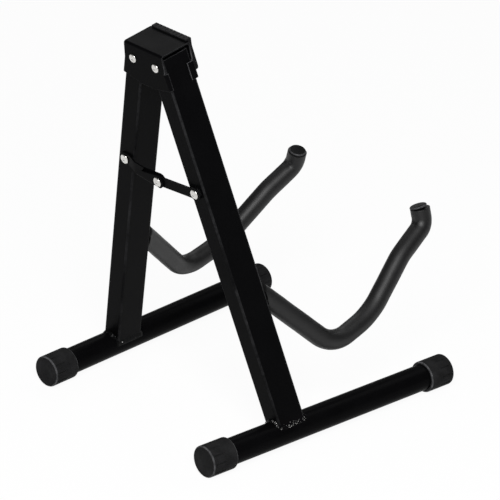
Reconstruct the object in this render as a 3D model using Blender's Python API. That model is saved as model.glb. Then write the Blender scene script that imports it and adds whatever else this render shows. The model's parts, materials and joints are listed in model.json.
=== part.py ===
"""Folding A-frame guitar stand, modelled piece by piece in metres with +Z up.

Two rectangular legs hang from rivets in a folded steel head and are tied by a
two-strap link. Each leg is coped and welded onto a round base tube and carries
a bent arm in a foam sleeve. The guitar's side is -Y, the riveted side is +Y,
and the +X leg is called left because it stands left when seen from behind.
The origin is the middle of the stand's outline, on the floor.
"""
import math

import bmesh
import bpy
from mathutils import Vector

MM = 0.001

# Clearances
SEAT_GAP = 0.3 * MM        # between a piece and the face it rests on
FIT_GAP = 0.3 * MM         # round a shaft, in a bore or between sliding plates

# Stance
LEAN = math.radians(10.93)         # the whole A-frame leans back from the floor up
SPLAY = math.radians(15.8)         # each leg away from the middle when open
FOLDED_SPLAY = math.radians(0.2)   # what is left of it when the end caps meet

# Leg tubes, seen in section across the leg (X) and front to back (Y)
LEG_REACH = 367.5 * MM             # head rivet to the middle of the base tube
LEG_WIDTH = 20.0 * MM
LEG_DEPTH = 30.0 * MM
LEG_WALL = 1.5 * MM
LEG_CORNER = 2.5 * MM
LEG_ABOVE_PIVOT = 6.0 * MM

# Base tubes and their end caps
TUBE_RADIUS = 12.5 * MM
TUBE_WALL = 1.5 * MM
BACK_REACH = 99.5 * MM             # leg to the outer face of the back cap
FRONT_REACH = 195.4 * MM           # leg to the outer face of the front cap
CAP_RADIUS = 15.1 * MM
CAP_LENGTH = 28.0 * MM
CAP_END_WALL = 3.0 * MM
CAP_RIM = 1.4 * MM                 # chamfer round the end disc
CAP_LIP = 1.2 * MM                 # rounding of the mouth
CAP_GROOVES = 11
CAP_GROOVE_DEPTH = 0.7 * MM
CAP_GROOVE_WIDTH = 1.5 * MM
CAP_GROOVE_START = 2.8 * MM
CAP_GROOVE_LENGTH = 11.5 * MM
WELD_SIZE = 1.8 * MM

# Head: a folded steel saddle over both legs
HEAD_SHEET = 1.5 * MM
HEAD_BEND = 1.0 * MM               # inner radius of its folds
PIVOT_HALF_SPACING = 14.6 * MM
PIVOT_DROP = 14.5 * MM
HEAD_TOP_HALF_WIDTH = 24.7 * MM
HEAD_SHOULDER_HALF_WIDTH = 26.0 * MM
HEAD_SHOULDER_DROP = 16.2 * MM
HEAD_FOOT_HALF_WIDTH = 9.0 * MM
HEAD_HEIGHT = 37.5 * MM
EAR_TOP = 5.7 * MM                 # along the leg, below the pivot
EAR_BOTTOM = 22.0 * MM
FRONT_EAR_DEPTH = 8.2 * MM         # how far each ear laps over the leg's side
BACK_EAR_DEPTH = 3.5 * MM

# Rubber pad over the head's front face
PAD_THICKNESS = 3.7 * MM
PAD_TOP_HALF_WIDTH = 22.5 * MM
PAD_FOOT_HALF_WIDTH = 27.5 * MM
PAD_FLARE_START = 6.0 * MM
PAD_HEIGHT = 27.7 * MM
PAD_RIDGE_DEPTH = 6.6 * MM         # front to back, lapping over the head's top
PAD_RIDGE_HEIGHT = 1.7 * MM
PAD_EDGE = 0.6 * MM
PAD_FOOT_CORNER = 3.0 * MM         # upright part of the foot's ends
PAD_RIB_PITCH = 4.5 * MM
PAD_RIB_GROOVE = 1.2 * MM

# Rivets
PIN_RADIUS = 3.0 * MM              # head pivots
LINK_PIN_RADIUS = 2.5 * MM
RIVET_HEAD_RADIUS = 4.65 * MM
HEAD_RIVET_RADIUS = 4.1 * MM       # the head's own rivets are smaller
RIVET_HEAD_HEIGHT = 1.3 * MM
RIVET_DIMPLE = 0.3 * MM
TAIL_HEAD_RADIUS = 3.8 * MM        # the end set with the press
TAIL_HEAD_HEIGHT = 1.0 * MM

# Shapes of rivet ends, as shares of their radius and height from the seat out
DOME_SHAPE = ((1.0, 0.0), (1.0, 0.3), (0.85, 0.7), (0.5, 1.0), (0.25, 1.0))
DIMPLE_SHARE = 0.15
SET_SHAPE = ((0.6, 1.0), (1.0, 0.4), (1.0, 0.0))

# Two-strap link between the legs
LINK_DOWN = 120.4 * MM             # head rivet to link rivet, along the leg
LINK_SAG = 4.4 * MM                # middle rivet below the outer two when open
STRAP_SHEET = 1.5 * MM
EYE_RADIUS = 6.5 * MM
FLAT_STRAP_HALF_WIDTH = 5.0 * MM
CHANNEL_CLEARANCE = 0.6 * MM       # channel floor below the flat strap's edge
JOGGLE_START = 6.5 * MM            # all four along the strap, from the left rivet
JOGGLE_RUN = 10.9 * MM
CHANNEL_START = 19.0 * MM
NOTCH_START = 30.0 * MM            # near wall is cut away from here to the middle rivet
NOTCH_FOOT = 26.0 * MM
NOTCH_FOOT_HEIGHT = 1.2 * MM       # above the strap's centre line
LIP_EYE_START = 62.0               # degrees round the eye where the cut ends
WEB_START_HEIGHT = 1.5 * MM        # far wall rises from this to the eye
FLOOR_OVERRUN = 2.0 * MM           # channel floor past the middle rivet
EYE_END = 215.0                    # degrees round the eye where it meets the floor
EYE_FOOT = 2.3 * MM                # eye runs into the strap's lower edge this far past the rivet

# Arms: a bent steel rod in a foam sleeve, in the leg's middle plane
ROD_RADIUS = 5.0 * MM
FOAM_RADIUS = 9.6 * MM
FOAM_ROOT_GAP = 1.4 * MM           # foam to the leg's front face
FOAM_TIP_STEP = 0.5 * MM           # rod end stands out of the foam
ARM_ROOT_DROP = 234.1 * MM         # below the pivot, along the leg
ARM_ROOT_ANGLE = math.radians(-55.0)   # from straight forward, downward
ARM_DROP_RUN = 104.9 * MM
ARM_CRADLE_TURN = math.radians(61.3)
ARM_CRADLE_RADIUS = 33.4 * MM
ARM_CRADLE_RUN = 52.2 * MM
ARM_RISE_TURN = math.radians(26.2)
ARM_RISE_RADIUS = 77.4 * MM
ARM_RISE_RUN = 64.9 * MM
ARM_EASE_TURN = math.radians(-10.8)
ARM_EASE_RADIUS = 61.7 * MM
ARM_EASE_RUN = 38.4 * MM
ARM_TIP_TURN = math.radians(61.0)
ARM_TIP_RADIUS = 14.0 * MM
ARM_TIP_RUN = 16.9 * MM
ARM_ARC_STEP = math.radians(12.0)
PLUG_RADIUS = 8.4 * MM
PLUG_THICKNESS = 1.6 * MM
PLUG_STEM_RADIUS = 2.2 * MM
PLUG_STEM_LENGTH = 7.0 * MM

# Sides that stand for a circle
TUBE_STEPS = 32
COPE_STEPS = 48
FOAM_STEPS = 16
ROD_STEPS = 10
PLUG_STEPS = 24
RIVET_STEPS = 20
BORE_STEPS = 16
EYE_STEPS = 8
FOLD_STEPS = 3                     # flats that stand for a right-angled fold

# Worked out from the sizes above
HEAD_INNER = LEG_DEPTH / 2 + FIT_GAP
HEAD_OUTER = HEAD_INNER + HEAD_SHEET
HEAD_RISE = PIVOT_DROP + LEG_REACH * math.cos(SPLAY)
TUBE_PITCH = math.atan(math.tan(LEAN) / math.cos(SPLAY))
TUBE_ROLL = math.asin(math.sin(SPLAY) * math.cos(LEAN))
LINK_HALF_SPAN = PIVOT_HALF_SPACING + LINK_DOWN * math.sin(SPLAY)
LINK_LENGTH = math.hypot(LINK_HALF_SPAN, LINK_SAG)
LINK_SLOPE = math.atan2(LINK_SAG, LINK_HALF_SPAN)
FOLDED_HALF_SPAN = PIVOT_HALF_SPACING + LINK_DOWN * math.sin(FOLDED_SPLAY)
FOLDED_SLOPE = math.acos(FOLDED_HALF_SPAN / LINK_LENGTH)

# Layers of the link, counted from the leg's back face
EYE_LAYER = FIT_GAP
WEB_INNER = EYE_LAYER + STRAP_SHEET
FLAT_LAYER = WEB_INNER + FIT_GAP
LIP_INNER = FLAT_LAYER + STRAP_SHEET + FIT_GAP
LIP_OUTER = LIP_INNER + STRAP_SHEET


def clear_scene():
    """Remove whatever the file starts with."""
    for item in list(bpy.data.objects):
        bpy.data.objects.remove(item, do_unlink=True)


def make_material(name, colour, roughness, metallic=0.0):
    material = bpy.data.materials.new(name)
    material.use_nodes = True
    shader = material.node_tree.nodes["Principled BSDF"]
    shader.inputs["Base Color"].default_value = (*colour, 1.0)
    shader.inputs["Roughness"].default_value = roughness
    shader.inputs["Metallic"].default_value = metallic
    return material


def add_empty(name, parent=None, location=(0, 0, 0), rotation=(0, 0, 0), order="XYZ"):
    """Add an empty that stands for a joint or a frame that pieces hang on."""
    empty = bpy.data.objects.new(name, None)
    empty.empty_display_size = 20 * MM
    empty.parent = parent
    empty.location = location
    empty.rotation_mode = order
    empty.rotation_euler = rotation
    bpy.context.collection.objects.link(empty)
    return empty


def finish_mesh(name, bm, smooth=False):
    """Turn a closed bmesh into a mesh with its faces pointing out."""
    if bm.calc_volume(signed=True) < 0:
        bmesh.ops.reverse_faces(bm, faces=bm.faces[:])
    mesh = bpy.data.meshes.new(name)
    bm.to_mesh(mesh)
    bm.free()
    if smooth:
        mesh.shade_smooth()
        mesh.set_sharp_from_angle(angle=math.radians(35))
    return mesh


def add_piece(name, mesh, parent, material, location=(0, 0, 0), rotation=(0, 0, 0)):
    piece = bpy.data.objects.new(name, mesh)
    piece.parent = parent
    piece.location = location
    piece.rotation_euler = rotation
    if not mesh.materials:
        mesh.materials.append(material)
    bpy.context.collection.objects.link(piece)
    return piece


def add_cutter(name, mesh, parent):
    """Add a shape that only cuts others, hidden in renders."""
    cutter = bpy.data.objects.new(name, mesh)
    cutter.parent = parent
    cutter.display_type = "WIRE"
    cutter.hide_render = True
    bpy.context.collection.objects.link(cutter)
    return cutter


def cut(piece, cutter, operation="DIFFERENCE"):
    modifier = piece.modifiers.new(cutter.name, "BOOLEAN")
    modifier.operation = operation
    modifier.solver = "EXACT"
    modifier.object = cutter


def loft(bm, rings, loop=False):
    """Skin a list of equal rings; a loop joins the last to the first, else both ends are filled."""
    loops = [[bm.verts.new(point) for point in ring] for ring in rings]
    pairs = list(zip(loops, loops[1:]))
    if loop:
        pairs.append((loops[-1], loops[0]))
    for lower, upper in pairs:
        for i in range(len(lower)):
            j = (i + 1) % len(lower)
            bm.faces.new((lower[i], lower[j], upper[j], upper[i]))
    if not loop:
        bm.faces.new(reversed(loops[0]))
        bm.faces.new(loops[-1])


def circle(radius, steps, phase=0.0):
    """Points of a circle in a plane, counter-clockwise."""
    turn = 2 * math.pi / steps
    return [(radius * math.cos(phase + i * turn), radius * math.sin(phase + i * turn))
            for i in range(steps)]


def turn_about_y(bm, profile, steps, centre=(0.0, 0.0)):
    """Turned piece about an axis along Y; the profile lists (radius, y)."""
    rings = []
    for radius, y in profile:
        rings.append([(centre[0] + x, y, centre[1] + z) for x, z in circle(radius, steps)])
    loft(bm, rings)


def prism_along_y(bm, outline, low, high):
    """Extrude an (x, z) outline from y = low to y = high."""
    loft(bm, [[(x, low, z) for x, z in outline], [(x, high, z) for x, z in outline]])


def arc(centre, radius, start, end, steps):
    """Points of an arc in a plane, both ends included; angles in degrees."""
    points = []
    for i in range(steps + 1):
        angle = math.radians(start + (end - start) * i / steps)
        points.append((centre[0] + radius * math.cos(angle), centre[1] + radius * math.sin(angle)))
    return points


def rounded_rectangle(width, depth, radius, corner_steps=2, width_steps=1):
    """Closed outline, with the two sides along the width split into equal steps."""
    half_x, half_y = width / 2 - radius, depth / 2 - radius
    points = []
    for sign_x, sign_y, start in ((1, -1, -90), (1, 1, 0), (-1, 1, 90), (-1, -1, 180)):
        points += arc((sign_x * half_x, sign_y * half_y), radius, start, start + 90, corner_steps)
        if sign_x == sign_y:
            for i in range(1, width_steps):
                points.append((sign_x * half_x * (1 - 2 * i / width_steps), sign_y * depth / 2))
    return points


def saddle_height(x, y, radius):
    """Height on the leg where a line along it meets a tube of this radius round the base axis."""
    rise = math.sqrt(radius * radius - x * x) + y * math.sin(TUBE_PITCH)
    return rise / math.cos(TUBE_PITCH) - LEG_REACH


def leg_point(across, along):
    """Head coordinates (x, z) of a point of the open left leg, from its pivot."""
    x = PIVOT_HALF_SPACING + across * math.cos(SPLAY) - along * math.sin(SPLAY)
    z = -PIVOT_DROP + across * math.sin(SPLAY) + along * math.cos(SPLAY)
    return x, z


# Legs and base tubes

def leg_mesh():
    bm = bmesh.new()
    outer = rounded_rectangle(LEG_WIDTH, LEG_DEPTH, LEG_CORNER)
    inner = rounded_rectangle(LEG_WIDTH - 2 * LEG_WALL, LEG_DEPTH - 2 * LEG_WALL,
                              max(LEG_CORNER - LEG_WALL, LEG_CORNER / 4))
    rings = []
    for outline, z in ((outer, -LEG_REACH), (outer, LEG_ABOVE_PIVOT),
                       (inner, LEG_ABOVE_PIVOT), (inner, -LEG_REACH)):
        rings.append([(x, y, z) for x, y in outline])
    loft(bm, rings, loop=True)
    return finish_mesh("leg_tube", bm, smooth=True)


def leg_cutter_mesh():
    """Holes for the head pivot and, through the back wall alone, for the link rivet."""
    bm = bmesh.new()
    turn_about_y(bm, ((PIN_RADIUS + FIT_GAP, -LEG_DEPTH), (PIN_RADIUS + FIT_GAP, LEG_DEPTH)), RIVET_STEPS)
    radius = LINK_PIN_RADIUS + FIT_GAP
    turn_about_y(bm, ((radius, 0.0), (radius, LEG_DEPTH)), RIVET_STEPS, (0.0, -LINK_DOWN))
    return finish_mesh("leg_holes", bm)


def cope_cutter_mesh():
    bm = bmesh.new()
    radius = TUBE_RADIUS + SEAT_GAP
    turn_about_y(bm, ((radius, -2 * LEG_DEPTH), (radius, 2 * LEG_DEPTH)), COPE_STEPS)
    return finish_mesh("leg_cope", bm)


def base_tube_mesh():
    bm = bmesh.new()
    back = BACK_REACH - CAP_END_WALL - SEAT_GAP
    front = -FRONT_REACH + CAP_END_WALL + SEAT_GAP
    rings = []
    for radius, y in ((TUBE_RADIUS, front), (TUBE_RADIUS, back),
                      (TUBE_RADIUS - TUBE_WALL, back), (TUBE_RADIUS - TUBE_WALL, front)):
        rings.append([(x, y, z) for x, z in circle(radius, TUBE_STEPS)])
    loft(bm, rings, loop=True)
    return finish_mesh("base_tube", bm, smooth=True)


def end_cap_mesh():
    """Cup with a grooved outer half, turned about Z with its mouth at the bottom."""
    pitch = 2 * math.pi / CAP_GROOVES
    edge = 0.5 * CAP_GROOVE_WIDTH / CAP_RADIUS
    angles, sunk = [], []
    for i in range(CAP_GROOVES):
        middle = math.pi / 2 + (i + 0.5) * pitch
        for offset, is_sunk in ((-edge, False), (-0.6 * edge, True), (0.6 * edge, True),
                                (edge, False), (pitch / 2, False)):
            angles.append(middle + offset)
            sunk.append(is_sunk)
    groove_end = CAP_GROOVE_START + CAP_GROOVE_LENGTH
    ramp = CAP_GROOVE_DEPTH
    bore = TUBE_RADIUS + FIT_GAP
    profile = ((CAP_RADIUS - CAP_RIM, 0.0, False),
               (CAP_RADIUS, -CAP_RIM, False),
               (CAP_RADIUS, -CAP_GROOVE_START, False),
               (CAP_RADIUS, -CAP_GROOVE_START - ramp, True),
               (CAP_RADIUS, -groove_end + ramp, True),
               (CAP_RADIUS, -groove_end, False),
               (CAP_RADIUS, -CAP_LENGTH + 1.6 * CAP_LIP, False),
               (CAP_RADIUS - 0.35 * CAP_LIP, -CAP_LENGTH + 0.6 * CAP_LIP, False),
               (CAP_RADIUS - CAP_LIP, -CAP_LENGTH, False),
               (bore, -CAP_LENGTH, False),
               (bore, -CAP_END_WALL, False))
    bm = bmesh.new()
    rings = []
    for radius, z, grooved in profile:
        ring = []
        for angle, is_sunk in zip(angles, sunk):
            reach = radius - CAP_GROOVE_DEPTH if grooved and is_sunk else radius
            ring.append((reach * math.cos(angle), reach * math.sin(angle), z))
        rings.append(ring)
    loft(bm, rings)
    return finish_mesh("end_cap", bm, smooth=True)


def foot_weld_mesh():
    """Bead that runs round the leg's foot in the corner between leg and base tube."""
    section = ((SEAT_GAP, 0.0), (WELD_SIZE, 0.0), (0.65 * WELD_SIZE, 0.6 * WELD_SIZE),
               (SEAT_GAP, WELD_SIZE))
    rings = []
    for reach, height in section:
        outline = rounded_rectangle(LEG_WIDTH + 2 * reach, LEG_DEPTH + 2 * reach,
                                    LEG_CORNER + reach, 3, 6)
        rings.append([(x, y, saddle_height(x, y, TUBE_RADIUS + SEAT_GAP) + height)
                      for x, y in outline])
    bm = bmesh.new()
    loft(bm, rings, loop=True)
    return finish_mesh("foot_weld", bm, smooth=True)


# Arms

def arm_path():
    """Stations (y, z, angle) of the arm's centre line in the leg's middle plane."""
    corners = ((ARM_CRADLE_TURN, ARM_CRADLE_RADIUS, ARM_CRADLE_RUN),
               (ARM_RISE_TURN, ARM_RISE_RADIUS, ARM_RISE_RUN),
               (ARM_EASE_TURN, ARM_EASE_RADIUS, ARM_EASE_RUN),
               (ARM_TIP_TURN, ARM_TIP_RADIUS, ARM_TIP_RUN))
    y, z, angle = -LEG_DEPTH / 2, -ARM_ROOT_DROP, ARM_ROOT_ANGLE
    stations = [(y, z, angle)]
    run = ARM_DROP_RUN
    for turn, radius, next_run in corners:
        tangent = radius * math.tan(abs(turn) / 2)
        y -= (run - tangent) * math.cos(angle)
        z += (run - tangent) * math.sin(angle)
        stations.append((y, z, angle))
        steps = max(2, math.ceil(abs(turn) / ARM_ARC_STEP))
        chord = 2 * radius * math.sin(abs(turn) / steps / 2)
        for _ in range(steps):
            middle = angle + turn / steps / 2
            y -= chord * math.cos(middle)
            z += chord * math.sin(middle)
            angle += turn / steps
            stations.append((y, z, angle))
        run = next_run - tangent
    stations.append((y - run * math.cos(angle), z + run * math.sin(angle), angle))
    return stations


def arm_ring(station, radius, steps):
    """Ring of points square to the arm at a station."""
    y, z, angle = station
    ring = []
    for across, up in circle(radius, steps):
        ring.append((across, y + up * math.sin(angle), z + up * math.cos(angle)))
    return ring


def mitred_ring(ring, angle, plane_y):
    """Slide a ring's points along the arm until they lie in a plane parallel to the leg's face."""
    slid = []
    for x, y, z in ring:
        slid.append((x, plane_y, z - (plane_y - y) * math.tan(angle)))
    return slid


def arm_rod_mesh():
    stations = arm_path()
    rings = [arm_ring(station, ROD_RADIUS, ROD_STEPS) for station in stations]
    rings[0] = mitred_ring(rings[0], stations[0][2], -LEG_DEPTH / 2 - SEAT_GAP)
    bm = bmesh.new()
    loft(bm, rings)
    return finish_mesh("arm_rod", bm, smooth=True)


def arm_foam_mesh():
    """Sleeve round the rod, cut flat against the leg at its root."""
    stations = arm_path()
    y, z, angle = stations[-1]
    stations[-1] = (y + FOAM_TIP_STEP * math.cos(angle), z - FOAM_TIP_STEP * math.sin(angle), angle)
    outer = [arm_ring(station, FOAM_RADIUS, FOAM_STEPS) for station in stations]
    inner = [arm_ring(station, ROD_RADIUS + FIT_GAP, FOAM_STEPS) for station in stations]
    root = -LEG_DEPTH / 2 - FOAM_ROOT_GAP
    outer[0] = mitred_ring(outer[0], stations[0][2], root)
    inner[0] = mitred_ring(inner[0], stations[0][2], root)
    bm = bmesh.new()
    loft(bm, outer + inner[::-1], loop=True)
    return finish_mesh("arm_foam", bm, smooth=True)


def turned_mesh(name, profile, steps, smooth=True):
    bm = bmesh.new()
    turn_about_y(bm, profile, steps)
    return finish_mesh(name, bm, smooth)


def plug_mesh():
    """Tip plug: a low disc on the rod's end with a stem in its bore, turned about Y."""
    disc = SEAT_GAP + PLUG_THICKNESS
    profile = ((PLUG_STEM_RADIUS, -PLUG_STEM_LENGTH), (PLUG_STEM_RADIUS, SEAT_GAP),
               (PLUG_RADIUS, SEAT_GAP), (PLUG_RADIUS, SEAT_GAP + 0.5 * PLUG_THICKNESS),
               (PLUG_RADIUS - 0.4 * PLUG_THICKNESS, disc - 0.1 * PLUG_THICKNESS),
               (PLUG_RADIUS - PLUG_THICKNESS, disc))
    return turned_mesh("arm_plug", profile, PLUG_STEPS)


def plug_bore_mesh():
    radius = PLUG_STEM_RADIUS + FIT_GAP
    return turned_mesh("plug_bore", ((radius, -PLUG_STEM_LENGTH - FIT_GAP), (radius, PLUG_RADIUS)),
                       BORE_STEPS, smooth=False)


# Head

def plate_outline():
    """Half of a head plate's outline below the top fold, (x, z), down the left side."""
    bend_start = LEG_WIDTH / 2 + FIT_GAP - HEAD_BEND
    return [(HEAD_TOP_HALF_WIDTH, -HEAD_SHEET - HEAD_BEND),
            (HEAD_SHOULDER_HALF_WIDTH, -HEAD_SHOULDER_DROP),
            leg_point(bend_start, -EAR_TOP),
            leg_point(bend_start, -EAR_BOTTOM),
            (HEAD_FOOT_HALF_WIDTH, -HEAD_HEIGHT)]


def add_ear(bm, top, bottom, side, face, depth):
    """Fold an ear from a plate's slanted edge back over the leg's side.

    side is +1 on the left leg, face is +1 on the back plate; top and bottom are
    the edge's vertices, and depth is measured from the plate's outer face.
    """
    bend_start = LEG_WIDTH / 2 + FIT_GAP - HEAD_BEND
    across_and_y = []
    for i in range(1, FOLD_STEPS + 1):
        angle = math.pi / 2 * i / FOLD_STEPS
        across_and_y.append((bend_start + HEAD_BEND * math.sin(angle),
                             HEAD_INNER - HEAD_BEND * (1 - math.cos(angle))))
    across_and_y.append((bend_start + HEAD_BEND, HEAD_OUTER - depth))
    for across, y in across_and_y:
        edge = []
        for along in (-EAR_TOP, -EAR_BOTTOM):
            x, z = leg_point(across, along)
            edge.append(bm.verts.new((side * x, face * y, z)))
        bm.faces.new((top, edge[0], edge[1], bottom))
        top, bottom = edge


def head_mesh():
    """Inner skin of the folded sheet, thickened outward by a modifier."""
    bm = bmesh.new()
    half = plate_outline()
    top_edges = []
    for face, depth in ((1, BACK_EAR_DEPTH), (-1, FRONT_EAR_DEPTH)):
        left = [bm.verts.new((x, face * HEAD_INNER, z)) for x, z in half]
        right = [bm.verts.new((-x, face * HEAD_INNER, z)) for x, z in half]
        bm.faces.new(left + right[::-1])
        add_ear(bm, left[2], left[3], 1, face, depth)
        add_ear(bm, right[2], right[3], -1, face, depth)
        rail = [(left[0], right[0])]
        for i in range(1, FOLD_STEPS + 1):
            angle = math.pi / 2 * i / FOLD_STEPS
            y = HEAD_INNER - HEAD_BEND * (1 - math.cos(angle))
            z = -HEAD_SHEET - HEAD_BEND * (1 - math.sin(angle))
            pair = tuple(bm.verts.new((side * HEAD_TOP_HALF_WIDTH, face * y, z)) for side in (1, -1))
            bm.faces.new((rail[-1][0], rail[-1][1], pair[1], pair[0]))
            rail.append(pair)
        top_edges.append(rail[-1])
    back, front = top_edges
    bm.faces.new((back[0], back[1], front[1], front[0]))
    bmesh.ops.recalc_face_normals(bm, faces=bm.faces[:])
    top = max(bm.faces, key=lambda face: face.calc_center_median().z)
    if top.normal.z < 0:
        bmesh.ops.reverse_faces(bm, faces=bm.faces[:])
    mesh = bpy.data.meshes.new("head_bracket")
    bm.to_mesh(mesh)
    bm.free()
    return mesh


def thicken(piece, thickness):
    """Give a skin its sheet thickness on the side its faces point to."""
    modifier = piece.modifiers.new("sheet", "SOLIDIFY")
    modifier.thickness = thickness
    modifier.offset = 1.0
    modifier.use_even_offset = True
    modifier.use_quality_normals = True


def head_holes_mesh():
    bm = bmesh.new()
    for side in (1, -1):
        turn_about_y(bm, ((PIN_RADIUS + FIT_GAP, -2 * HEAD_OUTER), (PIN_RADIUS + FIT_GAP, 2 * HEAD_OUTER)),
                     RIVET_STEPS, (side * PIVOT_HALF_SPACING, -PIVOT_DROP))
    return finish_mesh("head_holes", bm)


def pad_mesh():
    """L-shaped bar: a face over the head's front plate and a ridge over its top edge."""
    back = -HEAD_OUTER - SEAT_GAP
    front = back - PAD_THICKNESS
    profile = ((front, -PAD_HEIGHT), (back, -PAD_HEIGHT), (back, SEAT_GAP),
               (front + PAD_RIDGE_DEPTH, SEAT_GAP), (front + PAD_RIDGE_DEPTH, SEAT_GAP + PAD_RIDGE_HEIGHT),
               (front, SEAT_GAP + PAD_RIDGE_HEIGHT))
    bm = bmesh.new()
    loft(bm, [[(x, y, z) for y, z in profile] for x in (-PAD_FOOT_HALF_WIDTH, PAD_FOOT_HALF_WIDTH)])
    return finish_mesh("head_pad", bm)


def pad_outline_mesh():
    right = [(PAD_TOP_HALF_WIDTH, 2 * PAD_RIDGE_HEIGHT), (PAD_TOP_HALF_WIDTH, -PAD_FLARE_START)]
    foot_z = -PAD_HEIGHT - PAD_EDGE
    right += [(PAD_FOOT_HALF_WIDTH, -PAD_HEIGHT + PAD_FOOT_CORNER), (PAD_FOOT_HALF_WIDTH, foot_z)]
    outline = right + [(-x, z) for x, z in reversed(right)]
    bm = bmesh.new()
    prism_along_y(bm, outline, -2 * HEAD_OUTER, 0.0)
    return finish_mesh("pad_outline", bm)


def pad_pockets_mesh():
    """Recesses behind the pad that clear the rivets' set ends."""
    bm = bmesh.new()
    radius = TAIL_HEAD_RADIUS + 2 * FIT_GAP
    depth = SEAT_GAP + TAIL_HEAD_HEIGHT + FIT_GAP
    for side in (1, -1):
        turn_about_y(bm, ((radius, -HEAD_OUTER - depth), (radius, -HEAD_INNER)), RIVET_STEPS,
                     (side * PIVOT_HALF_SPACING, -PIVOT_DROP))
    return finish_mesh("pad_pockets", bm)


def pad_grooves_mesh():
    """Upright grooves across the pad's front face."""
    front = -HEAD_OUTER - SEAT_GAP - PAD_THICKNESS
    count = int((PAD_TOP_HALF_WIDTH - 2 * PAD_RIB_GROOVE) / PAD_RIB_PITCH)
    bm = bmesh.new()
    for i in range(-count, count + 1):
        x = i * PAD_RIB_PITCH
        outline = ((x - PAD_RIB_GROOVE / 2, front - PAD_EDGE), (x + PAD_RIB_GROOVE / 2, front - PAD_EDGE),
                   (x + PAD_RIB_GROOVE / 4, front + PAD_EDGE), (x - PAD_RIB_GROOVE / 4, front + PAD_EDGE))
        loft(bm, [[(px, py, z) for px, py in outline]
                  for z in (-PAD_HEIGHT + 4 * PAD_EDGE, -4 * PAD_EDGE)])
    return finish_mesh("pad_grooves", bm)


# Rivets

def domed_head(shank, seat, head_radius):
    """Profile (radius, y) of a shank's top and the dimpled dome on it."""
    head = seat + SEAT_GAP
    profile = [(shank, head)]
    for radius_share, height_share in DOME_SHAPE:
        profile.append((radius_share * head_radius, head + height_share * RIVET_HEAD_HEIGHT))
    profile.append((DIMPLE_SHARE * head_radius, head + RIVET_HEAD_HEIGHT - RIVET_DIMPLE))
    return profile


def rivet_mesh(name, shank, seat, tail_seat, head_radius=RIVET_HEAD_RADIUS):
    """Rivet along Y: a domed head beyond y = seat, a set end beyond y = tail_seat."""
    tail = tail_seat - SEAT_GAP
    profile = []
    for radius_share, height_share in SET_SHAPE:
        profile.append((radius_share * TAIL_HEAD_RADIUS, tail - height_share * TAIL_HEAD_HEIGHT))
    profile.append((shank, tail))
    return turned_mesh(name, profile + domed_head(shank, seat, head_radius), RIVET_STEPS)


def plain_rivet_mesh(name, shank, seat, end):
    """Rivet whose shank simply ends at y = end."""
    return turned_mesh(name, [(shank, end)] + domed_head(shank, seat, RIVET_HEAD_RADIUS), RIVET_STEPS)


# Link straps

def channel_strap_mesh():
    """Skin of the left strap: eye, joggle, cut-away lip, U-shaped floor and web.

    It runs along -X from the left rivet to the middle one, and its channel opens
    upward so that the flat strap can swing up inside it.
    """
    bend = (LIP_INNER - WEB_INNER) / 2
    foot = -FLAT_STRAP_HALF_WIDTH - CHANNEL_CLEARANCE + bend
    middle = (WEB_INNER + LIP_INNER) / 2
    far_end = -LINK_LENGTH
    lap = -CHANNEL_START
    fold_in_x = -JOGGLE_START
    fold_out_x = fold_in_x - JOGGLE_RUN
    floor_end = far_end - FLOOR_OVERRUN
    bm = bmesh.new()

    def vertices(points, y):
        return [bm.verts.new((x, y, z)) for x, z in points]

    # The eye lies against the leg; the joggle steps it out to the lip's plane.
    eye_arc = arc((0.0, 0.0), EYE_RADIUS, 90, -45, EYE_STEPS)
    fold_in = vertices([(fold_in_x, EYE_RADIUS), (fold_in_x, foot)], EYE_LAYER)
    eye = vertices(eye_arc + [(EYE_FOOT, foot)], EYE_LAYER)
    bm.faces.new([fold_in[0]] + eye + [fold_in[1]])
    fold_out = vertices([(fold_out_x, EYE_RADIUS), (fold_out_x, foot)], LIP_INNER)
    bm.faces.new((fold_in[0], fold_in[1], fold_out[1], fold_out[0]))

    # The lip is full height at first, then cut low up to the eye at the middle rivet.
    lap_out, end_out = vertices([(lap, foot), (floor_end, foot)], LIP_INNER)
    cut_edge = [(-NOTCH_START, EYE_RADIUS), (-NOTCH_FOOT, NOTCH_FOOT_HEIGHT)]
    lip_eye = arc((far_end, 0.0), EYE_RADIUS, LIP_EYE_START, EYE_END, EYE_STEPS)
    lip = vertices(cut_edge + lip_eye, LIP_INNER)
    bm.faces.new([fold_out[1], lap_out, end_out] + lip[::-1] + [fold_out[0]])

    # The floor folds under the flat strap and up again into the web.
    row = (lap_out, end_out)
    for i in range(1, 2 * FOLD_STEPS + 1):
        angle = math.pi / 2 * i / FOLD_STEPS
        y = middle + bend * math.cos(angle)
        z = foot - bend * math.sin(angle)
        next_row = tuple(bm.verts.new((x, y, z)) for x in (lap, floor_end))
        bm.faces.new((row[0], row[1], next_row[1], next_row[0]))
        row = next_row
    web_eye = arc((far_end, 0.0), EYE_RADIUS, 90, EYE_END, EYE_STEPS)
    web = vertices([(lap, WEB_START_HEIGHT)] + web_eye, WEB_INNER)
    bm.faces.new([row[0], row[1]] + web[::-1])

    bmesh.ops.recalc_face_normals(bm, faces=bm.faces[:])
    lip_faces = [face for face in bm.faces if all(vert.co.y > middle for vert in face.verts)]
    largest = max(lip_faces, key=lambda face: face.calc_area())
    if largest.normal.y < 0:
        bmesh.ops.reverse_faces(bm, faces=bm.faces[:])
    mesh = bpy.data.meshes.new("channel_strap")
    bm.to_mesh(mesh)
    bm.free()
    return mesh


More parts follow.
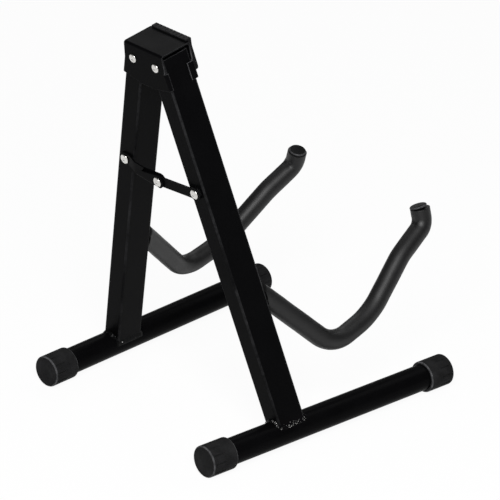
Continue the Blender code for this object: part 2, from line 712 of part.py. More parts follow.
def flat_strap_mesh():
    """Right strap: a flat bar from the middle rivet to a wider eye at the right one."""
    neck = math.degrees(math.asin(FLAT_STRAP_HALF_WIDTH / EYE_RADIUS))
    outline = arc((-LINK_LENGTH, 0.0), EYE_RADIUS, neck, 360 - neck, 2 * EYE_STEPS)
    outline += arc((0.0, 0.0), FLAT_STRAP_HALF_WIDTH, -90, 90, EYE_STEPS)
    bm = bmesh.new()
    prism_along_y(bm, outline, FLAT_LAYER, FLAT_LAYER + STRAP_SHEET)
    return finish_mesh("flat_strap", bm)


def strap_holes_mesh(name, places):
    bm = bmesh.new()
    radius = LINK_PIN_RADIUS + FIT_GAP
    for x in places:
        turn_about_y(bm, ((radius, -LEG_WALL), (radius, 2 * LIP_OUTER)), RIVET_STEPS, (x, 0.0))
    return finish_mesh(name, bm)


def spacer_mesh():
    """Ring between the right leg and the flat strap."""
    bm = bmesh.new()
    outer, inner = EYE_RADIUS - 2 * FIT_GAP, LINK_PIN_RADIUS + FIT_GAP
    low, high = FIT_GAP, FLAT_LAYER - SEAT_GAP
    rings = []
    for radius, y in ((outer, low), (outer, high), (inner, high), (inner, low)):
        rings.append([(x, y, z) for x, z in circle(radius, PLUG_STEPS)])
    loft(bm, rings, loop=True)
    return finish_mesh("link_spacer", bm, smooth=True)


# Assembly

def make_materials():
    return {
        "steel": make_material("black_powder_coat", (0.012, 0.012, 0.013), 0.38),
        "cap": make_material("black_cap_rubber", (0.02, 0.02, 0.021), 0.6),
        "pad": make_material("black_pad_rubber", (0.022, 0.022, 0.023), 0.55),
        "foam": make_material("black_foam", (0.035, 0.035, 0.038), 0.75),
        "plug": make_material("black_plug_plastic", (0.02, 0.02, 0.021), 0.4),
        "rivet": make_material("nickel_rivet", (0.78, 0.77, 0.75), 0.25, 1.0),
    }


def build_head(head, materials):
    bracket = add_piece("head_bracket", head_mesh(), head, materials["steel"])
    thicken(bracket, HEAD_SHEET)
    cut(bracket, add_cutter("head_holes", head_holes_mesh(), head))

    pad = add_piece("head_pad", pad_mesh(), head, materials["pad"])
    cut(pad, add_cutter("pad_outline", pad_outline_mesh(), head), "INTERSECT")
    bevel = pad.modifiers.new("soft_edges", "BEVEL")
    bevel.width = PAD_EDGE
    bevel.segments = 2
    bevel.limit_method = "ANGLE"
    cut(pad, add_cutter("pad_pockets", pad_pockets_mesh(), head))
    cut(pad, add_cutter("pad_grooves", pad_grooves_mesh(), head))

    rivet = rivet_mesh("head_rivet", PIN_RADIUS, HEAD_OUTER, -HEAD_OUTER, HEAD_RIVET_RADIUS)
    for name, side in (("left", 1), ("right", -1)):
        add_piece(f"{name}_head_rivet", rivet, head, materials["rivet"],
                  (side * PIVOT_HALF_SPACING, 0.0, -PIVOT_DROP))


def build_base(name, side, hinge, materials):
    """Base tube, its two end caps and the weld, under a frame that lies level on the floor."""
    foot = add_empty(f"{name}_foot", hinge, (0.0, 0.0, -LEG_REACH),
                     (TUBE_PITCH, side * TUBE_ROLL, 0.0), "YXZ")
    add_piece(f"{name}_base_tube", base_tube_mesh(), foot, materials["steel"])
    cap = end_cap_mesh()
    quarter = math.pi / 2
    add_piece(f"{name}_back_cap", cap, foot, materials["cap"], (0.0, BACK_REACH, 0.0), (-quarter, 0.0, 0.0))
    add_piece(f"{name}_front_cap", cap, foot, materials["cap"], (0.0, -FRONT_REACH, 0.0),
              (-quarter, 0.0, math.pi))
    add_piece(f"{name}_foot_weld", foot_weld_mesh(), hinge, materials["steel"])
    return foot


def build_arm(name, hinge, materials):
    """Rod, foam sleeve and tip plug of one arm."""
    rod = add_piece(f"{name}_arm_rod", arm_rod_mesh(), hinge, materials["steel"])
    y, z, angle = arm_path()[-1]
    tip = add_empty(f"{name}_arm_tip", hinge, (0.0, y, z), (-math.pi - angle, 0.0, 0.0))
    bore = add_cutter(f"{name}_plug_bore", plug_bore_mesh(), tip)
    cut(rod, bore)
    add_piece(f"{name}_arm_foam", arm_foam_mesh(), hinge, materials["foam"])
    add_piece(f"{name}_arm_plug", plug_mesh(), tip, materials["plug"])


def build_leg(name, side, head, materials):
    """One leg with all that is welded to it, hung on its head rivet."""
    hinge = add_empty(f"{name}_leg_hinge", head, (side * PIVOT_HALF_SPACING, 0.0, -PIVOT_DROP),
                      (0.0, -side * SPLAY, 0.0))
    leg = add_piece(f"{name}_leg_tube", leg_mesh(), hinge, materials["steel"])
    foot = build_base(name, side, hinge, materials)
    cut(leg, add_cutter(f"{name}_leg_cope", cope_cutter_mesh(), foot))
    cut(leg, add_cutter(f"{name}_leg_holes", leg_cutter_mesh(), hinge))
    build_arm(name, hinge, materials)
    return hinge


def build_link(left_hinge, materials):
    """Channel strap on the left leg, flat strap on the middle rivet, and the three rivets."""
    left = add_empty("left_link_hinge", left_hinge, (0.0, LEG_DEPTH / 2, -LINK_DOWN),
                     (0.0, SPLAY - LINK_SLOPE, 0.0))
    strap = add_piece("channel_strap", channel_strap_mesh(), left, materials["steel"])
    thicken(strap, STRAP_SHEET)
    cut(strap, add_cutter("channel_strap_holes", strap_holes_mesh("channel_strap_holes", (0.0, -LINK_LENGTH)),
                          left))
    add_piece("left_link_rivet", rivet_mesh("left_link_rivet", LINK_PIN_RADIUS, WEB_INNER, -LEG_WALL),
              left, materials["rivet"])

    middle = add_empty("middle_link_hinge", left, (-LINK_LENGTH, 0.0, 0.0), (0.0, 2 * LINK_SLOPE, 0.0))
    add_piece("middle_link_rivet", rivet_mesh("middle_link_rivet", LINK_PIN_RADIUS, LIP_OUTER, EYE_LAYER),
              middle, materials["rivet"])
    flat = add_piece("flat_strap", flat_strap_mesh(), middle, materials["steel"])
    cut(flat, add_cutter("flat_strap_holes", strap_holes_mesh("flat_strap_holes", (0.0, -LINK_LENGTH)), middle))

    end = (-LINK_LENGTH, 0.0, 0.0)
    add_piece("right_link_rivet", plain_rivet_mesh("right_link_rivet", LINK_PIN_RADIUS,
                                                   FLAT_LAYER + STRAP_SHEET, FIT_GAP),
              middle, materials["rivet"], end)
    add_piece("link_spacer", spacer_mesh(), middle, materials["steel"], end)


def centre_on_floor(root):
    """Move the stand so that the origin is the middle of its outline, on the floor."""
    bpy.context.view_layer.update()
    graph = bpy.context.evaluated_depsgraph_get()
    low, high = Vector((math.inf,) * 3), Vector((-math.inf,) * 3)
    for piece in bpy.data.objects:
        if piece.type != "MESH" or piece.hide_render:
            continue
        solid = piece.evaluated_get(graph)
        mesh = solid.to_mesh()
        for vertex in mesh.vertices:
            point = solid.matrix_world @ vertex.co
            low = Vector(map(min, low, point))
            high = Vector(map(max, high, point))
        solid.to_mesh_clear()
    root.location.y -= (low.y + high.y) / 2
    root.location.z -= low.z
    bpy.context.view_layer.update()


def main():
    clear_scene()
    materials = make_materials()
    head = add_empty("head", None, (0.0, HEAD_RISE * math.sin(LEAN), CAP_RADIUS + HEAD_RISE * math.cos(LEAN)),
                     (-LEAN, 0.0, 0.0))
    build_head(head, materials)
    left_hinge = build_leg("left", 1, head, materials)
    build_leg("right", -1, head, materials)
    build_link(left_hinge, materials)
    centre_on_floor(head)
    swing = FOLDED_SLOPE - LINK_SLOPE
    fold = SPLAY - FOLDED_SPLAY
    print(f"fold {math.degrees(fold):.3f}, channel strap {-math.degrees(swing + fold):.3f},"
          f" flat strap {math.degrees(2 * swing):.3f} degrees")


main()
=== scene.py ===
"""The folding guitar stand, dressed over its CAD frame.

Every piece is shaped about its own place, which comes from the frame's joints:
the head, each leg, each base tube and each strap of the link has one.
Lengths are in metres. Left is +X, the riveted side is +Y.
"""
import json
import math

import bmesh
import bpy
from mathutils import Euler, Matrix, Vector, noise


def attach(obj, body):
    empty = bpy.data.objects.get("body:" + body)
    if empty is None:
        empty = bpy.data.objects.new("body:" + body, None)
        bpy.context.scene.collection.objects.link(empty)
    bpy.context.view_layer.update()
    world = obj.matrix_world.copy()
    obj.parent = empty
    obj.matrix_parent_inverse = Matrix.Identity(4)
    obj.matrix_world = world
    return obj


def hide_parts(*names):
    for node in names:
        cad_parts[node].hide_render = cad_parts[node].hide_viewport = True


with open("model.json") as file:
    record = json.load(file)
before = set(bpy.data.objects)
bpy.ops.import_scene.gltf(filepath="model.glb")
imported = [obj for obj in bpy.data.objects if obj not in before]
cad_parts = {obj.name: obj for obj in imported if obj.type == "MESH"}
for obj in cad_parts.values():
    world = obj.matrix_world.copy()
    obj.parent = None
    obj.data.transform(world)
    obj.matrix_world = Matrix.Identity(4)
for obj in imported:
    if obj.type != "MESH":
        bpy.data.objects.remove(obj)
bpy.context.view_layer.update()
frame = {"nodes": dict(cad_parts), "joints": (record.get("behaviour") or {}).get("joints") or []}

MM = 0.001
GAP = 0.3 * MM             # between pieces that rest on or slide over each other
SHEET = 1.5 * MM           # steel sheet of the head and the straps

# Stance
LEAN = math.radians(10.93)
SPLAY = math.radians(15.8)
TUBE_PITCH = math.atan(math.tan(LEAN) / math.cos(SPLAY))
TUBE_ROLL = math.asin(math.sin(SPLAY) * math.cos(LEAN))

# Leg tubes
LEG_REACH = 367.5 * MM
LEG_WIDTH = 20.0 * MM
LEG_DEPTH = 30.0 * MM
LEG_CORNER = 2.0 * MM
LEG_ABOVE_PIVOT = 6.0 * MM
TUBE_WALL = 1.5 * MM       # legs and base tubes alike

# Base tubes and caps
TUBE_RADIUS = 12.5 * MM
TUBE_INSET = 4.0 * MM      # tube's end to the cap's outer face
BACK_REACH = 99.5 * MM
FRONT_REACH = 195.4 * MM
CAP_RADIUS = 15.1 * MM
CAP_BORE = TUBE_RADIUS + 0.2 * MM
CAP_LENGTH = 28.0 * MM
CAP_END_WALL = 3.0 * MM
CAP_GROOVES = 11
GROOVE_HALF_WIDTH = 1.15 * MM
GROOVE_DEPTH = 1.0 * MM
GROOVE_START = 2.4 * MM    # both from the cap's outer face
GROOVE_END = 14.9 * MM
GROOVE_FADE = 0.9 * MM

# Weld beads, their section in millimetres out from the leg and up from the base tube
WELD_SECTION = ((-0.4, -0.7), (2.5, -0.75), (2.3, 0.35), (1.5, 1.25), (0.8, 2.0), (-0.1, 2.7))
WELD_RIPPLES = 22
WELD_HALF_WIDTH = 0.91 * TUBE_RADIUS

# Head and pad
PIVOT_DROP = 14.5 * MM
HEAD_OUTER = LEG_DEPTH / 2 + GAP + SHEET
PAD_THICKNESS = 3.7 * MM
PAD_HEIGHT = 27.7 * MM
PAD_RIDGE_DEPTH = 6.6 * MM
PAD_RIDGE_HEIGHT = 1.7 * MM
PAD_TOP_HALF_WIDTH = 22.5 * MM
PAD_FOOT_HALF_WIDTH = 27.5 * MM
PAD_FLARE_START = 6.0 * MM
PAD_FOOT_CORNER = 3.0 * MM
PAD_RIB_PITCH = 4.5 * MM
PAD_GROOVE_HALF_WIDTH = 0.75 * MM
PAD_GROOVE_DEPTH = 0.55 * MM
PAD_RIDGE_GROOVE_DEPTH = 0.3 * MM
PAD_PLAIN_MARGIN = 2.0 * MM

# Rivets and link
RIVET_RADIUS = 4.65 * MM
HEAD_RIVET_RADIUS = 4.1 * MM
RIVET_HEIGHT = 1.3 * MM
RIVET_HOLLOW = 0.5 * MM
SHANK_RADIUS = 2.5 * MM
SET_RADIUS = 3.8 * MM      # the end set with the press
SET_HEIGHT = 1.2 * MM
LINK_SAG = 4.4 * MM

# Layers of the link, counted from the legs' back faces
EYE_LAYER = GAP
WEB_INNER = EYE_LAYER + SHEET
FLAT_LAYER = WEB_INNER + GAP
LIP_OUTER = FLAT_LAYER + SHEET + GAP + SHEET

# Arms, in the leg's middle plane: each bend has a turn in degrees, a radius and the run after it
ROD_RADIUS = 5.0 * MM
FOAM_RADIUS = 9.6 * MM
FOAM_ROOT_GAP = 1.4 * MM
FOAM_TIP_STEP = 0.5 * MM   # rod end stands out of the foam
FOAM_BORE_GAP = 0.5 * MM
FOAM_PINCH = 0.9 * MM
FOAM_PINCH_REACH = 3.2 * MM
ARM_ROOT_DROP = 234.1 * MM
ARM_ROOT_ANGLE = -55.0
ARM_FIRST_RUN = 104.9 * MM
ARM_BENDS = ((61.3, 33.4 * MM, 52.2 * MM), (26.2, 77.4 * MM, 64.9 * MM),
             (-10.8, 61.7 * MM, 38.4 * MM), (61.0, 14.0 * MM, 16.9 * MM))
PLUG_RADIUS = 8.4 * MM
PLUG_THICKNESS = 1.6 * MM
PLUG_LIFT = 0.35 * MM
PLUG_STEM_RADIUS = 4.0 * MM
# How each plug sits in its tip: lifted, pushed aside and tilted
PLUG_SEATS = {"left": (0.0, 0.0, 0.0), "right": (0.8 * MM, 0.9 * MM, math.radians(6.0))}

# How tightly an edge bends outward before its coat is lightened, as wear and as painted highlight, and how
# much more lightens it fully
WEAR_AND_HIGHLIGHT_START = 0.4
WEAR_AND_HIGHLIGHT_RANGE = 0.4

# Room and camera
ROOM_LEVEL = 0.12
FLOOR_SHOWN_WHITE = 0.94
LAMP_AIM = Vector((0.0, 0.0, 0.2))
# Each lamp's spot, size and power
LAMPS = {"key": ((-1.15, 1.2, 1.6), 1.3, 70.0), "far_fill": ((1.5, -1.0, 1.7), 1.2, 8.0),
         "front_fill": ((-0.1, -1.4, 1.8), 1.2, 7.0)}
CAMERA_SPOT = Vector((-1.7595, 1.7242, 1.3374))
CAMERA_VIEW = Vector((0.6416, -0.6296, -0.4379))
CAMERA_ROLL = math.radians(2.4)
SENSOR_WIDTH = 36.0
FOCAL_PIXELS = 2951.0
PICTURE_PIXELS = 500.0

# Places
pivots = {joint["name"]: Vector(joint["pos_m"]) for joint in frame["joints"]}
UPRIGHT = Matrix.Rotation(-LEAN, 4, "X")
head_middle = (pivots["left_leg_fold"] + pivots["right_leg_fold"]) / 2
HEAD_PLACE = Matrix.Translation(head_middle + UPRIGHT @ Vector((0.0, 0.0, PIVOT_DROP))) @ UPRIGHT
SIDES = {"left": 1, "right": -1}
LEG_PLACES = {name: Matrix.Translation(pivots[f"{name}_leg_fold"]) @ UPRIGHT
              @ Matrix.Rotation(-side * SPLAY, 4, "Y") for name, side in SIDES.items()}
strap_start, strap_middle = pivots["channel_strap_fold"], pivots["flat_strap_fold"]
LINK_LENGTH = (strap_start - strap_middle).length
LINK_SLOPE = math.asin(LINK_SAG / LINK_LENGTH)
CHANNEL_PLACE = Matrix.Translation(strap_start) @ UPRIGHT @ Matrix.Rotation(-LINK_SLOPE, 4, "Y")
FLAT_PLACE = Matrix.Translation(strap_middle) @ UPRIGHT @ Matrix.Rotation(LINK_SLOPE, 4, "Y")


def foot_place(name):
    """Middle of a base tube under its leg: Y runs back along the tube, Z is up."""
    turn = Euler((TUBE_PITCH, SIDES[name] * TUBE_ROLL, 0.0), "YXZ").to_matrix().to_4x4()
    return LEG_PLACES[name] @ Matrix.Translation((0.0, 0.0, -LEG_REACH)) @ turn


# Finishes

class Value:
    """A number in a material, so that shader maths reads as an expression."""

    def __init__(self, finish, socket):
        self.finish = finish
        self.socket = socket

    def _maths(self, operation, first, second):
        node = self.finish.node("ShaderNodeMath", {0: first, 1: second}, operation=operation)
        return Value(self.finish, node.outputs[0])

    def __add__(self, other):
        return self._maths("ADD", self, other)

    def __radd__(self, other):
        return self._maths("ADD", other, self)

    def __sub__(self, other):
        return self._maths("SUBTRACT", self, other)

    def __rsub__(self, other):
        return self._maths("SUBTRACT", other, self)

    def __mul__(self, other):
        return self._maths("MULTIPLY", self, other)

    def __rmul__(self, other):
        return self._maths("MULTIPLY", other, self)


class Finish:
    """A material and the nodes that paint it."""

    def __init__(self, name):
        self.material = bpy.data.materials.new(name)
        self.material.use_nodes = True
        self.tree = self.material.node_tree
        self.tree.nodes.clear()

    def node(self, kind, sockets, **settings):
        """Add a node: its settings first, then the values or links of its sockets."""
        node = self.tree.nodes.new(kind)
        for name, setting in settings.items():
            setattr(node, name, setting)
        for key, value in sockets.items():
            if isinstance(value, Value):
                self.tree.links.new(value.socket, node.inputs[key])
            elif isinstance(value, bpy.types.NodeSocket):
                self.tree.links.new(value, node.inputs[key])
            else:
                node.inputs[key].default_value = value
        return node

    def place(self):
        return self.node("ShaderNodeTexCoord", {}).outputs["Object"]

    def stretched(self, scale, turn=(0.0, 0.0, 0.0)):
        """Object coordinates, stretched and turned."""
        mapping = self.node("ShaderNodeMapping", {"Vector": self.place(), "Scale": scale, "Rotation": turn})
        return mapping.outputs["Vector"]

    def clouds(self, scale, detail=2.0, roughness=0.5, vector=None):
        """Smooth noise, finer as the scale rises."""
        sockets = {"Vector": vector or self.place(), "Scale": scale, "Detail": detail,
                   "Roughness": roughness}
        return Value(self, self.node("ShaderNodeTexNoise", sockets).outputs[0])

    def edge_wear_and_highlight(self):
        """How tightly the surface bends outward, from 0 on flats to 1 on broken edges: the mask of edge
        wear and painted edge highlight.
        """
        return Value(self, self.node("ShaderNodeAttribute", {}, attribute_name="edge_wear_and_highlight").outputs["Fac"])

    def cells(self, scale):
        """Distance from the middle of each of many small cells."""
        sockets = {"Vector": self.place(), "Scale": scale}
        return Value(self, self.node("ShaderNodeTexVoronoi", sockets).outputs["Distance"])

    def spread(self, value, low, high, to_low, to_high):
        """Stretch the part of a value between low and high over a new range."""
        sockets = {"Value": value, "From Min": low, "From Max": high, "To Min": to_low, "To Max": to_high}
        return Value(self, self.node("ShaderNodeMapRange", sockets).outputs[0])

    def blend(self, factor, first, second):
        """Mix two colours, each a tuple or a link."""
        sockets = {0: factor, 6: (*first, 1.0) if isinstance(first, tuple) else first,
                   7: (*second, 1.0) if isinstance(second, tuple) else second}
        return self.node("ShaderNodeMix", sockets, data_type="RGBA").outputs[2]

    def bump(self, height, distance, strength=1.0, below=None):
        """Relief from a height, laid over a coarser relief where one is given."""
        sockets = {"Height": height, "Distance": distance, "Strength": strength}
        if below:
            sockets["Normal"] = below
        return self.node("ShaderNodeBump", sockets).outputs["Normal"]

    def surface(self, sockets):
        """Close the material with one shader."""
        shader = self.node("ShaderNodeBsdfPrincipled", sockets)
        self.node("ShaderNodeOutputMaterial", {"Surface": shader.outputs[0]})
        return self.material


def shaded(tint, share):
    """A colour at a share of its strength."""
    return tuple(share * part for part in tint)


def powder_coat(name, tint, chip_and_highlight, low_sheen, high_sheen, pebble):
    """Black powder coat: fine orange peel, slow cloudiness, rubbed streaks and edges lightened as wear and
    painted highlight.
    """
    finish = Finish(name)
    cloud = finish.clouds(38.0, 3.0)
    peel = finish.clouds(900.0, 2.0, 0.6)
    grit = finish.clouds(4200.0, 1.0)
    streak = finish.clouds(60.0, 4.0, 0.62, finish.stretched((1.0, 1.0, 0.12)))
    rubbed = finish.spread(streak, 0.56, 0.7, 0.0, 1.0)
    edge_patches = finish.spread(finish.clouds(240.0, 3.0, 0.6), 0.3, 0.65, 0.35, 1.0)
    # Edges lightened towards the chip colour, partly as chipped coat and partly as painted highlight
    edge = finish.edge_wear_and_highlight() * edge_patches * finish.spread(finish.clouds(20.0, 2.0), 0.34, 0.66, 0.15, 1.0)
    coat = finish.blend(cloud, shaded(tint, 0.75), shaded(tint, 1.3))
    colour = finish.blend(edge, coat, chip_and_highlight)
    sheen = finish.spread(cloud, 0.3, 0.7, low_sheen, high_sheen) - rubbed * 0.05 + (peel - 0.5) * 0.06
    normal = finish.bump(peel + grit * 0.35, pebble)
    return finish.surface({"Base Color": colour, "Roughness": sheen, "Normal": normal,
                           "Specular IOR Level": 0.015})


def weld_coat(name, tint, bare, rarity):
    """Coated weld bead with bare, bright specks of spatter, fewer as the rarity rises."""
    finish = Finish(name)
    cloud = finish.clouds(60.0, 3.0)
    lumps = finish.clouds(900.0, 2.0, 0.6)
    speck = finish.spread(finish.clouds(620.0, 1.0, 0.4), rarity, rarity + 0.04, 0.0, 1.0)
    coat = finish.blend(cloud, shaded(tint, 0.75), shaded(tint, 1.3))
    colour = finish.blend(speck, coat, bare)
    normal = finish.bump(lumps, 0.1 * MM)
    return finish.surface({"Base Color": colour, "Roughness": 0.2 + cloud * 0.1, "Metallic": speck,
                           "Normal": normal, "Specular IOR Level": 0.04})


def moulded_rubber(name, tint, rubbed, roughness, gloss):
    """Moulded rubber: fine spark-eroded grain, slightly greyed along its edges, partly as handling wear and
    partly as painted highlight.
    """
    finish = Finish(name)
    grain = finish.clouds(2600.0, 2.0, 0.7)
    pits = finish.cells(1500.0)
    bloom = finish.spread(finish.clouds(70.0, 4.0, 0.6), 0.42, 0.72, 0.0, 1.0)
    plain = finish.blend(bloom, tint, shaded(tint, 1.7))
    patchy = finish.spread(finish.clouds(210.0, 2.0), 0.36, 0.6, 0.35, 1.0)
    # Edges lightened towards the rubbed colour, partly as wear and partly as painted highlight
    colour = finish.blend(finish.edge_wear_and_highlight() * patchy, plain, rubbed)
    rough = roughness + (grain - 0.5) * 0.12 + bloom * 0.06
    normal = finish.bump(grain * 0.7 + pits * 0.3, 0.015 * MM)
    return finish.surface({"Base Color": colour, "Roughness": rough, "Normal": normal,
                           "Specular IOR Level": gloss})


def sleeve_foam(name, tint):
    """Closed-cell foam tube: a tight skin of tiny cells over soft, uneven swelling."""
    finish = Finish(name)
    cells = finish.cells(1900.0)
    fine = finish.clouds(3600.0, 2.0, 0.65)
    swell = finish.clouds(160.0, 3.0)
    patch = finish.spread(finish.clouds(45.0, 4.0, 0.6), 0.35, 0.7, 0.0, 1.0)
    colour = finish.blend(patch, shaded(tint, 0.85), shaded(tint, 1.25))
    rough = 0.48 + patch * 0.05 + (fine - 0.5) * 0.12
    soft = finish.bump(swell, 0.12 * MM, 0.5)
    normal = finish.bump(cells * 0.6 + fine * 0.4, 0.012 * MM, 1.0, soft)
    return finish.surface({"Base Color": colour, "Roughness": rough, "Normal": normal,
                           "Specular IOR Level": 0.4})


def nickel(name):
    """Tumbled nickel plate: faint scratches and a little tarnish."""
    finish = Finish(name)
    tarnish = finish.spread(finish.clouds(420.0, 4.0, 0.6), 0.4, 0.72, 0.0, 1.0)
    scratch = finish.clouds(900.0, 3.0, 0.7, finish.stretched((1.0, 0.3, 0.15), (0.4, 0.2, 0.7)))
    colour = finish.blend(tarnish, (0.72, 0.71, 0.69), (0.5, 0.49, 0.46))
    rough = 0.2 + tarnish * 0.12 + (scratch - 0.5) * 0.16
    normal = finish.bump(scratch, 0.012 * MM)
    return finish.surface({"Base Color": colour, "Roughness": rough, "Normal": normal, "Metallic": 1.0})


# The edge colours of the coat and the rubbers lighten edges, partly as wear and partly as painted highlight
FINISHES = {
    "steel": powder_coat("black_powder_coat", (0.0018, 0.0018, 0.002), (0.07, 0.07, 0.073), 0.3, 0.4,
                         0.015 * MM),
    "right_weld": weld_coat("spattered_weld_bead", (0.002, 0.002, 0.0022), (0.8, 0.79, 0.77), 0.64),
    "left_weld": weld_coat("clean_weld_bead", (0.002, 0.002, 0.0022), (0.8, 0.79, 0.77), 0.75),
    "cap": moulded_rubber("ribbed_cap_rubber", (0.0095, 0.0095, 0.0098), (0.07, 0.07, 0.073), 0.42, 0.01),
    "pad": moulded_rubber("ribbed_pad_rubber", (0.0036, 0.0036, 0.0038), (0.014, 0.014, 0.015), 0.44, 0.05),
    "plug": moulded_rubber("tip_plug_plastic", (0.004, 0.004, 0.0042), (0.05, 0.05, 0.052), 0.3, 0.06),
    "foam": sleeve_foam("sleeve_foam", (0.002, 0.002, 0.0022)),
    "rivet": nickel("tumbled_nickel"),
}


# Shaping

def mark_edges(bm):
    """Write at each corner how tightly the surface bends outward there, for the wear and the painted
    highlight along edges.
    """
    worn = bm.loops.layers.float.new("edge_wear_and_highlight")
    bend = {}
    for edge in bm.edges:
        if len(edge.link_faces) == 2:
            span = sum(face.calc_area() for face in edge.link_faces) / 2 / max(edge.calc_length(), 1e-9)
            tightness = edge.calc_face_angle_signed(0.0) * MM / max(span, 1e-6)
            for vert in edge.verts:
                bend[vert] = max(bend.get(vert, 0.0), tightness)
    for face in bm.faces:
        width = face.calc_area() / max(edge.calc_length() for edge in face.edges)
        for loop in face.loops:
            wear = min(1.0, max(0.0, bend.get(loop.vert, 0.0) - WEAR_AND_HIGHLIGHT_START) / WEAR_AND_HIGHLIGHT_RANGE)
            loop[worn] = wear if width < MM else 0.0


def show(name, bm, place, body, finish, nodes=(), crease=40.0, flat_first=True):
    """Put a finished shape in its place as a piece that rides on a body."""
    bmesh.ops.transform(bm, matrix=place, verts=bm.verts[:])
    if "edge_wear_and_highlight" not in bm.loops.layers.float:
        mark_edges(bm)
    mesh = bpy.data.meshes.new(name)
    bm.to_mesh(mesh)
    bm.free()
    mesh.shade_smooth()
    mesh.set_sharp_from_angle(angle=math.radians(crease))
    mesh.materials.append(FINISHES[finish])
    piece = bpy.data.objects.new(name, mesh)
    bpy.context.scene.collection.objects.link(piece)
    if flat_first:
        weighted = piece.modifiers.new("flat_faces_first", "WEIGHTED_NORMAL")
        weighted.keep_sharp = True
    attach(piece, body)
    if nodes:
        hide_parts(*nodes)
    return piece


def close_up(bm):
    """Merge what meets and turn every face outward."""
    bmesh.ops.remove_doubles(bm, verts=bm.verts[:], dist=1e-6)
    bmesh.ops.recalc_face_normals(bm, faces=bm.faces[:])


def ease_edges(bm, radius, steps, sharper_than=50.0):
    """Round the edges where faces meet at more than an angle in degrees."""
    limit = math.radians(sharper_than)
    edges = [edge for edge in bm.edges if len(edge.link_faces) == 2 and edge.calc_face_angle(0.0) > limit]
    bmesh.ops.bevel(bm, geom=edges, offset=radius, segments=steps, profile=0.5, affect="EDGES",
                    clamp_overlap=True, material=-1)


def turned(corners, steps):
    """Turn a half section about Y; each corner is (radius, along, rounding).

    A section that starts and ends on the axis makes a solid, any other a ring.
    """
    bm = bmesh.new()
    verts = [bm.verts.new((radius, along, 0.0)) for radius, along, _ in corners]
    bm.faces.new(verts)
    for vert, (_, _, rounding) in zip(verts, corners):
        if rounding:
            bmesh.ops.bevel(bm, geom=[vert], offset=rounding, segments=5, profile=0.5, affect="VERTICES",
                            material=-1)
    bmesh.ops.delete(bm, geom=bm.faces[:], context="FACES_ONLY")
    on_axis = [edge for edge in bm.edges if all(abs(vert.co.x) < 1e-7 for vert in edge.verts)]
    bmesh.ops.delete(bm, geom=on_axis, context="EDGES")
    bmesh.ops.spin(bm, geom=bm.verts[:] + bm.edges[:], cent=(0.0, 0.0, 0.0), axis=(0.0, 1.0, 0.0),
                   dvec=(0.0, 0.0, 0.0), angle=2 * math.pi, steps=steps, use_merge=True)
    close_up(bm)
    return bm


def rounded_bar_ring(bm, width, depth, corner, cuts):
    """Closed ring of edges round a bar with rounded corners, its sides cut into short steps."""
    bmesh.ops.create_grid(bm, x_segments=1, y_segments=1, size=0.5)
    bmesh.ops.scale(bm, vec=(width, depth, 1.0), verts=bm.verts[:])
    bmesh.ops.bevel(bm, geom=bm.verts[:], offset=corner, segments=6, profile=0.5, affect="VERTICES",
                    material=-1)
    sides = [edge for edge in bm.edges if edge.calc_length() > 2 * corner]
    bmesh.ops.subdivide_edges(bm, edges=sides, cuts=cuts)
    bmesh.ops.delete(bm, geom=bm.faces[:], context="FACES_ONLY")


def saddle_height(x, y, radius):
    """Height on the leg where a line along it meets a tube of this radius round the base axis."""
    rise = math.sqrt(radius * radius - x * x) + y * math.sin(TUBE_PITCH)
    return rise / math.cos(TUBE_PITCH) - LEG_REACH


def copy_of(node, place):
    """A merged copy of a CAD node's mesh, seen from a place, its flat faces whole again."""
    bm = bmesh.new()
    bm.from_mesh(frame["nodes"][node].data)
    bmesh.ops.transform(bm, matrix=place.inverted(), verts=bm.verts[:])
    bmesh.ops.remove_doubles(bm, verts=bm.verts[:], dist=1e-6)
    bmesh.ops.dissolve_limit(bm, angle_limit=math.radians(1.0), verts=bm.verts[:], edges=bm.edges[:])
    return bm


# Legs, base tubes and welds

def leg_tube(name):
    """Rectangular tube, coped at its foot to sit on the base tube."""
    bm = bmesh.new()
    rounded_bar_ring(bm, LEG_WIDTH, LEG_DEPTH, LEG_CORNER, 11)
    foot = bm.verts[:]
    rise = bmesh.ops.extrude_edge_only(bm, edges=bm.edges[:])
    top = [item for item in rise["geom"] if isinstance(item, bmesh.types.BMVert)]
    bmesh.ops.translate(bm, vec=(0.0, 0.0, LEG_ABOVE_PIVOT), verts=top)
    for vert in foot:
        vert.co.z = saddle_height(vert.co.x, vert.co.y, TUBE_RADIUS + 0.1 * MM)
    bmesh.ops.recalc_face_normals(bm, faces=bm.faces[:])
    bmesh.ops.solidify(bm, geom=bm.faces[:], thickness=TUBE_WALL)
    bmesh.ops.recalc_face_normals(bm, faces=bm.faces[:])
    ease_edges(bm, 0.25 * MM, 2, 60.0)
    return show(f"{name}_leg", bm, LEG_PLACES[name], f"{name}_leg", "steel", [f"{name}_leg_tube"])


